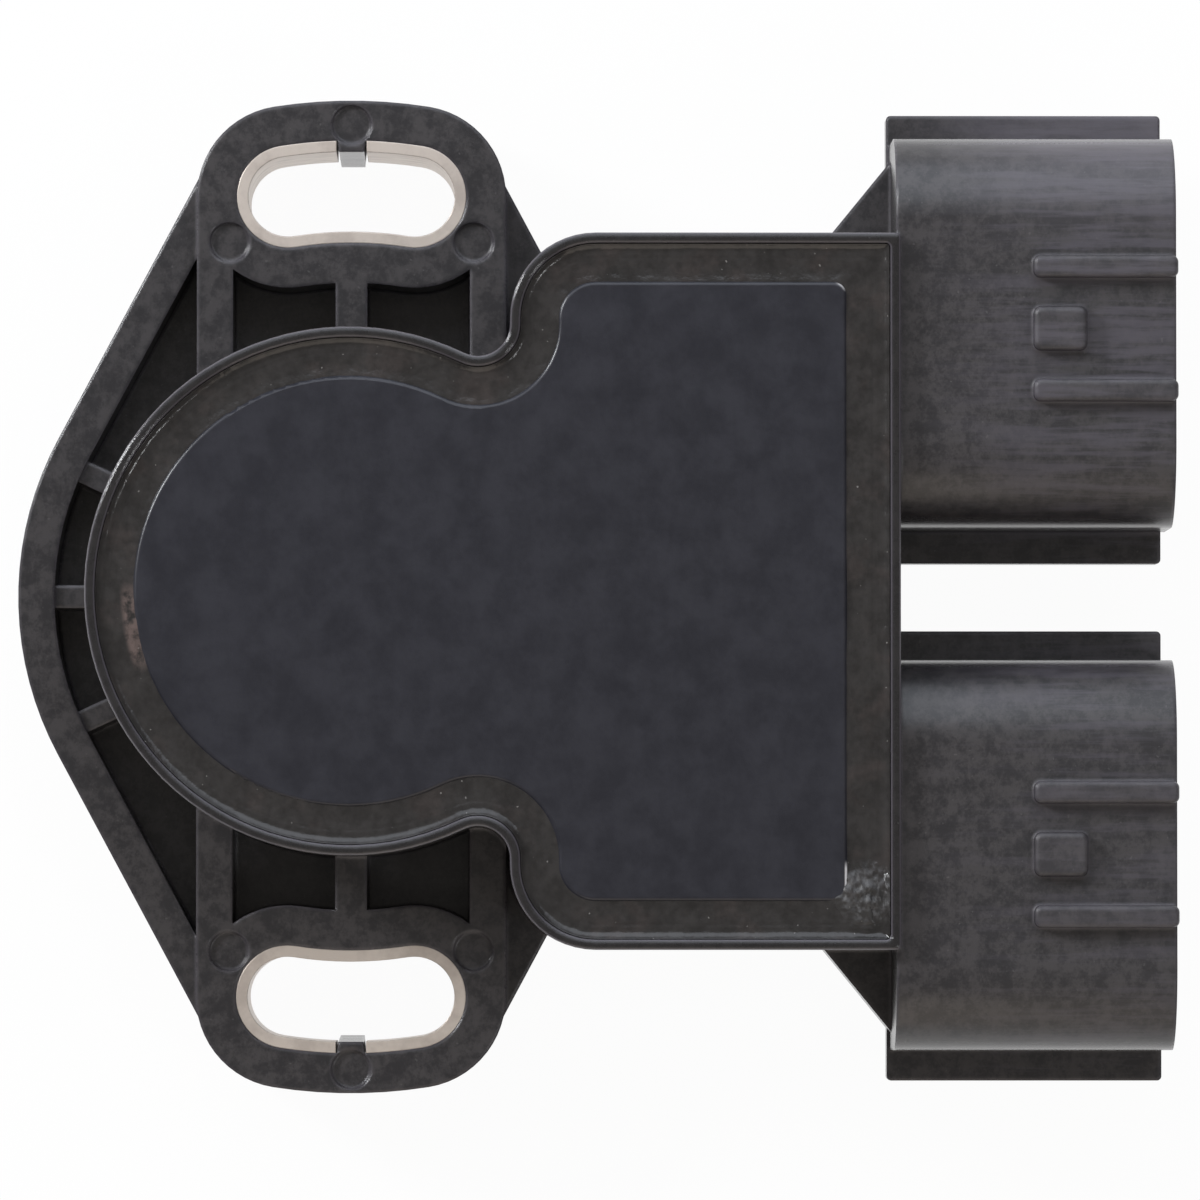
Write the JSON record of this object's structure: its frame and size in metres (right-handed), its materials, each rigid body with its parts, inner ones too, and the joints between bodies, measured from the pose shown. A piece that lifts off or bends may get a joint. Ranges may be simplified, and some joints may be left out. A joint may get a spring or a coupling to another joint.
{
  "type": "throttle position sensor",
  "caption": "Black moulded throttle position sensor with a keyhole body, ribbed flange with slotted ears, side-by-side plug connectors and a sprung rotor.",
  "frame": {"origin": "on the rotor's axis, in the plane of the mounting face", "axes": "+Z along the rotor's axis towards the cover, -Y towards the connectors' mouths, X across the slotted ears"},
  "size_m": [0.0658, 0.0763, 0.02],
  "materials": {
    "housing_black": "fine moulded satin",
    "cover_black": "smooth satin",
    "sealing_resin": "cast gloss",
    "bush_steel": "zinc plated",
    "seal_rubber": "matte",
    "board_laminate": "satin",
    "solder": "bright",
    "rotor_plastic": "satin",
    "contact_bronze": "bright",
    "spring_steel": "drawn wire",
    "terminal_tinned": "tin plated",
    "track_carbon": "printed",
    "track_silver": "printed"
  },
  "bodies": {
    "sensor_body": {"housing": "housing_black", "cover_plate": "cover_black", "sealing_bead": "sealing_resin", "slot_bush_right": "bush_steel", "slot_bush_left": "bush_steel", "rotor_seal": "seal_rubber", "circuit_board": "board_laminate", "solder_joints": "solder", "return_spring": "spring_steel", "sensor_terminal_ground": "terminal_tinned", "sensor_terminal_supply": "terminal_tinned", "sensor_terminal_signal": "terminal_tinned", "switch_terminal_idle": "terminal_tinned", "switch_terminal_common": "terminal_tinned", "switch_terminal_open": "terminal_tinned", "resistor_track": "track_carbon", "collector_track": "track_silver", "switch_common_track": "track_silver", "switch_idle_track": "track_silver", "switch_open_track": "track_silver"},
    "rotor_body": {"rotor": "rotor_plastic", "sensor_wiper": "contact_bronze", "switch_wiper": "contact_bronze"}
  },
  "joints": [
    {"name": "rotor_turn", "type": "hinge", "parent": "sensor_body", "child": "rotor_body", "pos_m": [0, 0, 0], "axis": [0, 0, 1], "range_deg": [0, 90], "stiffness_Nm_per_rad": 0.006, "springref_deg": -51.57, "deforming": ["return_spring"]}
  ]
}
